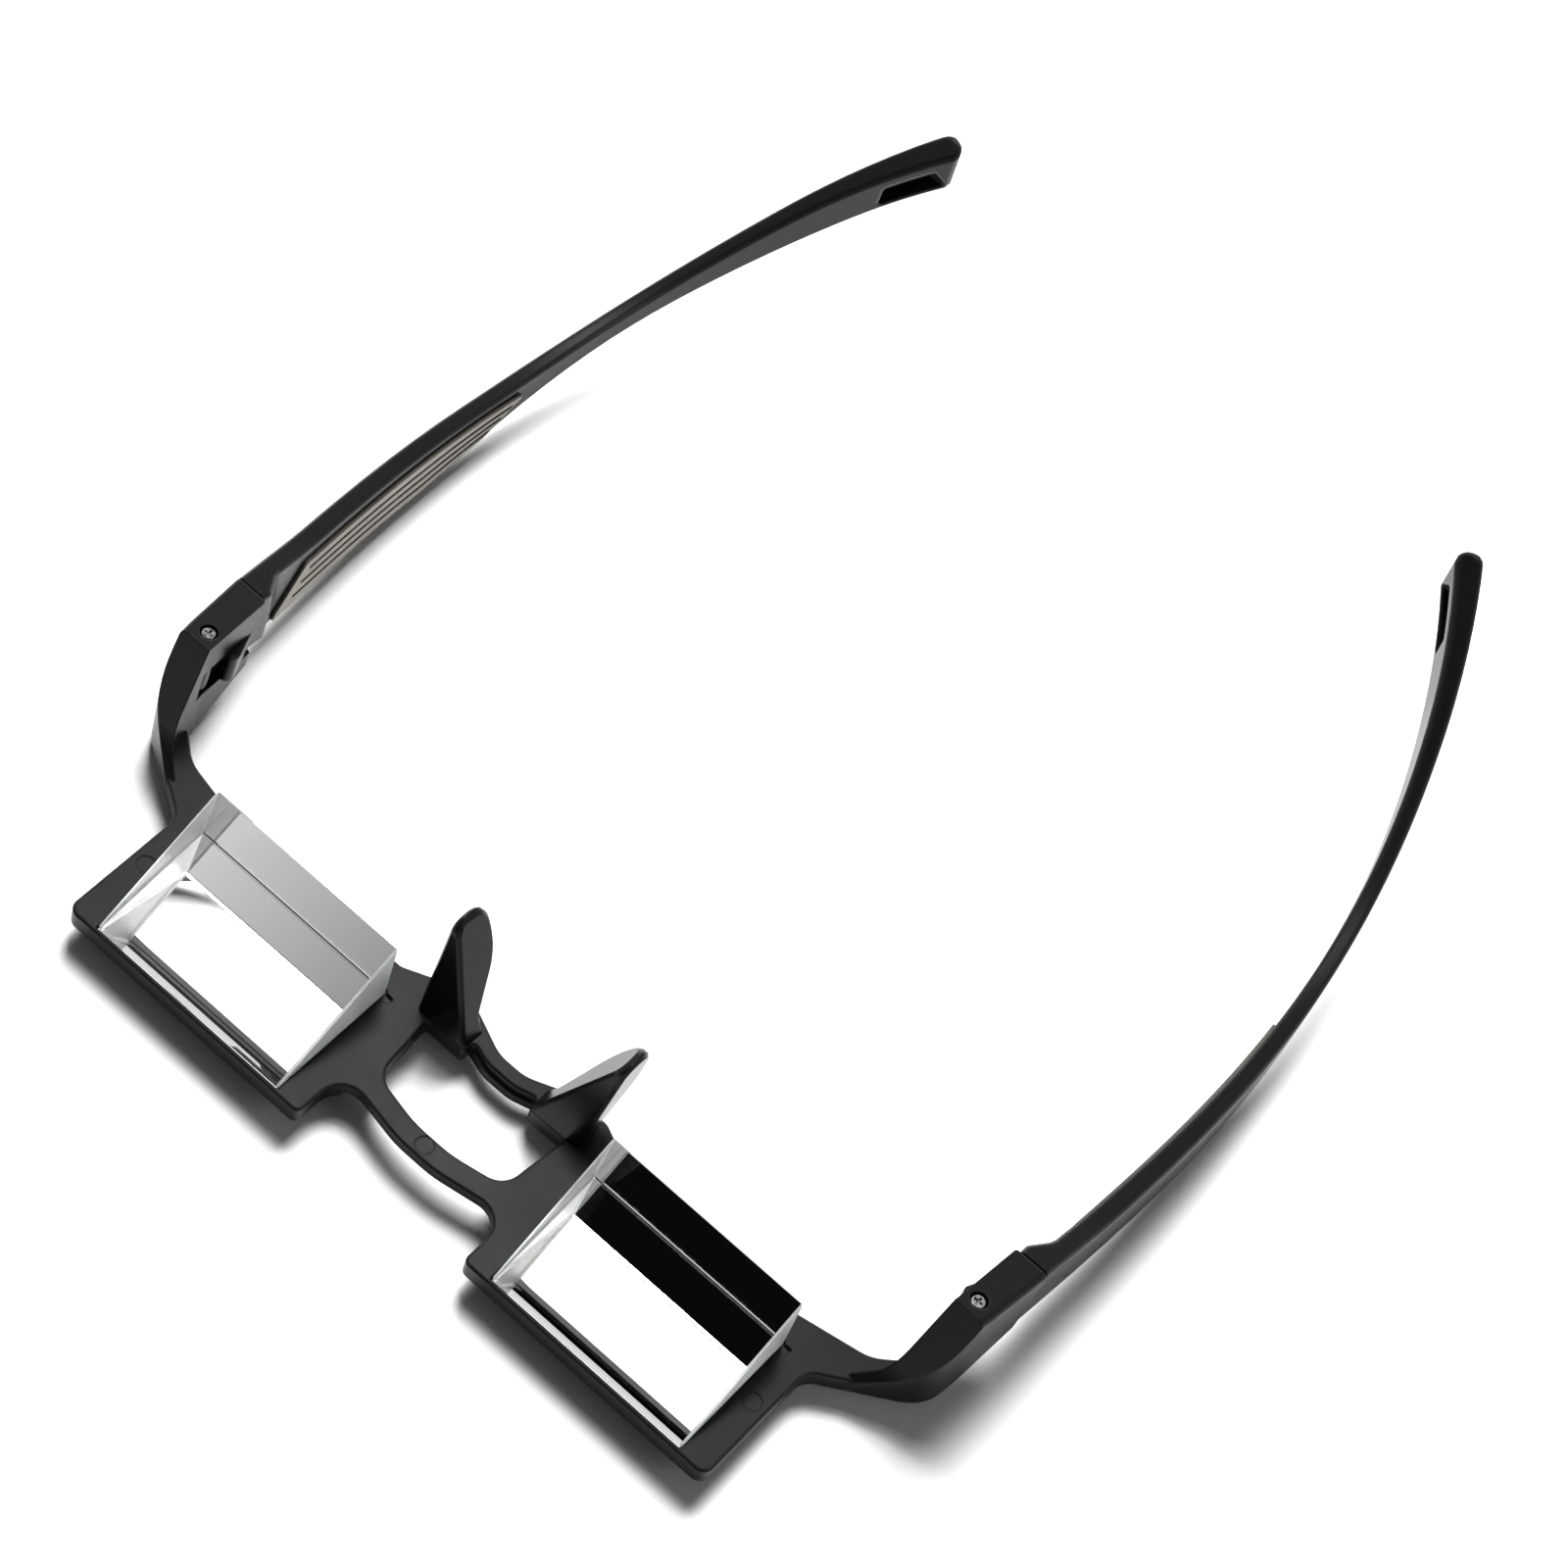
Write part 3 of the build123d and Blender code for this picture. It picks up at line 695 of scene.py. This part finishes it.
@dataclass
class Studio:
    """Table, lamps, surroundings and camera.

    The camera's place, lens and sensor are in millimetres, everything else in metres.
    """

    camera_place: Point = (131.9, -327.74, 569.1)
    camera_right: Point = (0.7476, 0.6361, 0.1908)
    camera_up: Point = (-0.6327, 0.5949, 0.4958)
    lens: float = 101.25
    sensor: float = 36.0
    nearest_seen: float = 0.01
    table_size: float = 8.0
    table_drop: float = 2.0 * MM
    table_colour: Colour = (0.9, 0.9, 0.9)
    table_roughness: float = 0.9
    table_fade: Span = (0.4, 0.8)
    sky_strength: float = 0.10
    cards: tuple[Card, ...] = (
        Ceiling("ceiling", (-0.1, -0.42, 0.7), 0.5, through_glass=True),
        Card("rear_flag", (0.0, 0.6, 1.5), 1.6, tone=0.3),
        Card("front_flag", (0.0, -1.7, 0.95), 1.4, tone=0.02),
    )
    lamps: tuple[Lamp, ...] = (
        Lamp("rear_softbox", (-0.29, 0.61, 0.87), (0.0, 0.0, 0.0), 0.6, 30.0, reflected=False),
        Lamp("overhead_softbox", (-0.23, 0.34, 1.0), (0.0, -0.09, 0.0), 0.3, 4.4),
        Lamp("side_softbox", (0.85, 0.1, 0.45), (0.0, 0.0, 0.0), 0.3, 0.9),
    )

    def build(self) -> list[str]:
        """Set up everything round the object.

        Returns:
            The names of the table, the cards, the lamps and the camera.
        """
        table = self.lay_table()
        cards = [card.hang() for card in self.cards]
        self.light_world()
        lamps = [lamp.hang() for lamp in self.lamps]
        return [table, *cards, *lamps, self.aim_camera()]

    def lay_table(self) -> str:
        """Lay the plain white table just under the object.

        Returns:
            The table's name.
        """
        lowest = min(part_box(node)[0].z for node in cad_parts) - self.table_drop
        graph = Graph("table_white")
        near = graph.add(
            "BsdfPrincipled", Roughness=self.table_roughness, Specular_IOR_Level=0.0
        )
        near.inputs["Base Color"].default_value = (*self.table_colour, 1.0)
        far = graph.add("Emission", Strength=1.0)
        distance = graph.add("VectorMath", operation="LENGTH")
        graph.join(graph.add("TexCoord").outputs["Object"], distance.inputs[0])
        glow = graph.ramp(distance.outputs["Value"], self.table_fade, NONE_TO_ALL)
        blend = graph.add("MixShader")
        graph.join(graph.math("MULTIPLY", glow, seen_share(graph.tree)), blend.inputs["Fac"])
        graph.join(near.outputs[0], blend.inputs[1])
        graph.join(far.outputs[0], blend.inputs[2])
        sheet = level_sheet(self.table_size / 2, Vector((0, 0, lowest)))
        table = add_object("table", sheet, graph.finish(blend))
        return table.name

    def light_world(self) -> None:
        """Light softly from all round, with a white backdrop where it is seen."""
        world = bpy.data.worlds.new("studio")
        bpy.context.scene.world = world
        world.use_nodes = True
        tree = world.node_tree
        tree.nodes.clear()
        soft = tree.nodes.new("ShaderNodeBackground")
        soft.inputs["Strength"].default_value = self.sky_strength
        white = tree.nodes.new("ShaderNodeBackground")
        white.inputs["Strength"].default_value = 1.0
        blend = tree.nodes.new("ShaderNodeMixShader")
        tree.links.new(seen_share(tree), blend.inputs[0])
        tree.links.new(soft.outputs[0], blend.inputs[1])
        tree.links.new(white.outputs[0], blend.inputs[2])
        output = tree.nodes.new("ShaderNodeOutputWorld")
        tree.links.new(blend.outputs[0], output.inputs["Surface"])

    def aim_camera(self) -> str:
        """Put the camera where the picture was taken from.

        Returns:
            The camera's name.
        """
        data = bpy.data.cameras.new("camera")
        data.lens = self.lens
        data.sensor_width = self.sensor
        data.clip_start = self.nearest_seen
        camera = bpy.data.objects.new("camera", data)
        bpy.context.scene.collection.objects.link(camera)
        right, up = Vector(self.camera_right), Vector(self.camera_up)
        turn = Matrix((right, up, right.cross(up))).transposed().to_4x4()
        camera.matrix_world = Matrix.Translation(Vector(self.camera_place) * MM) @ turn
        bpy.context.scene.camera = camera
        return camera.name


def main() -> None:
    """Dress the glasses, set up the studio and report each piece."""
    logging.basicConfig(level=logging.INFO)
    bpy.context.scene.view_settings.view_transform = "Standard"
    charcoal = (0.005, 0.005, 0.0048)
    # The second colour of each black plastic is its painted edge tone: lighter than the body, so a
    # painted highlight along the edges.
    front_black = MouldedPlastic(
        Slot.FRAME.value, charcoal, (0.026, 0.026, 0.025), roughness=0.33, gloss_spread=0.04
    ).make()
    temple_black = MouldedPlastic(
        "temple_plastic", charcoal, (0.010, 0.010, 0.0096), roughness=0.25, gloss_spread=0.04,
        edge_radius=0.8 * MM,
    ).make()
    pad_black = MouldedPlastic(
        Slot.PAD.value, (0.004, 0.004, 0.004), (0.012, 0.012, 0.012), roughness=0.2,
        gloss_spread=0.04, sheen=0.16, grain=1800.0,
    ).make()
    # The inlay's edge tone is darker than its body: painted shade along the edges of its ribs. Its
    # sheltered grooves also get painted shade.
    inlay_beige = MouldedPlastic(
        Slot.INLAY.value, (0.24, 0.224, 0.192), (0.03, 0.0275, 0.023), roughness=0.34,
        gloss_spread=0.06, edge_radius=0.9 * MM, grime_and_shade=0.95,
    ).make()
    glass = PrismGlass().make()
    silver = Silvering().make()
    steel = TurnedSteel().make()
    assemblies = [FrontFrame(front_black)]
    for side in Side:
        assemblies += [
            Prism(side, glass, silver),
            NosePad(side, pad_black),
            HingeScrew(side, steel),
            Temple(side, temple_black, inlay_beige),
        ]
    for assembly in (*assemblies, Studio()):
        for piece in assembly.build():
            log.info("%s: %s is ready", type(assembly).__name__, piece)


if __name__ == "__main__":
    main()
